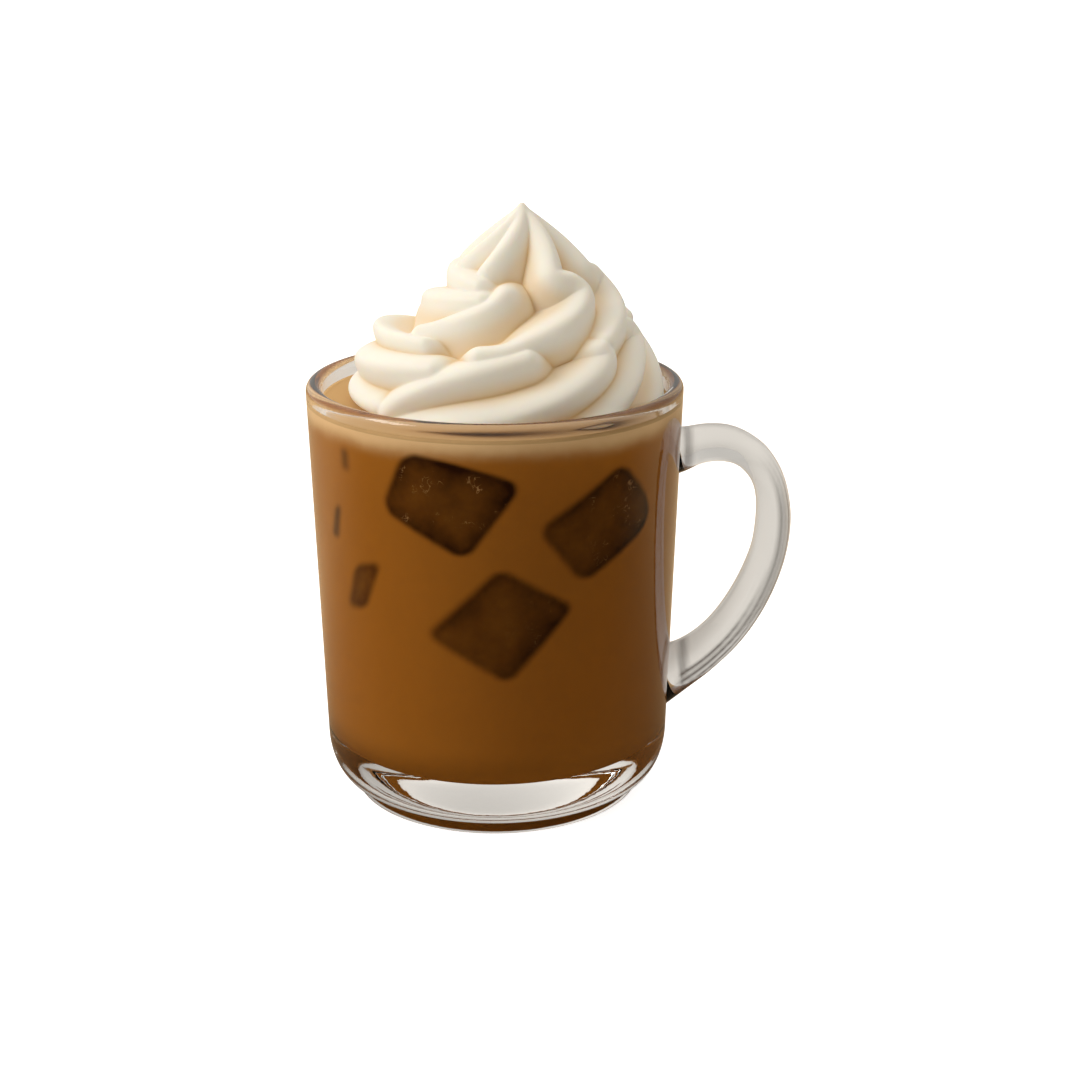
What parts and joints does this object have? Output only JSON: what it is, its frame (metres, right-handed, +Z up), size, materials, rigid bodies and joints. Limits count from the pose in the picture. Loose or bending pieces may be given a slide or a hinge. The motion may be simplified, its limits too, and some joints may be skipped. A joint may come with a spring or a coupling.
{
  "type": "iced coffee in a glass mug",
  "caption": "Clear glass mug with a side handle, filled with iced milky coffee and topped with a tall piped swirl of whipped cream.",
  "frame": {"origin": "centre of the mug's flat foot, on the mug's axis", "axes": "+Z up along the mug's axis, +X towards the handle, -Y to the front"},
  "size_m": [0.1092, 0.084, 0.1346],
  "materials": {
    "clear_glass": "clear polished glass",
    "coffee": "milky iced coffee with dark ice cubes showing through",
    "whipped_cream": "soft matt piped cream"
  },
  "bodies": {
    "root": {"glass_mug": "clear_glass", "coffee": "coffee", "whipped_cream": "whipped_cream"}
  },
  "joints": []
}
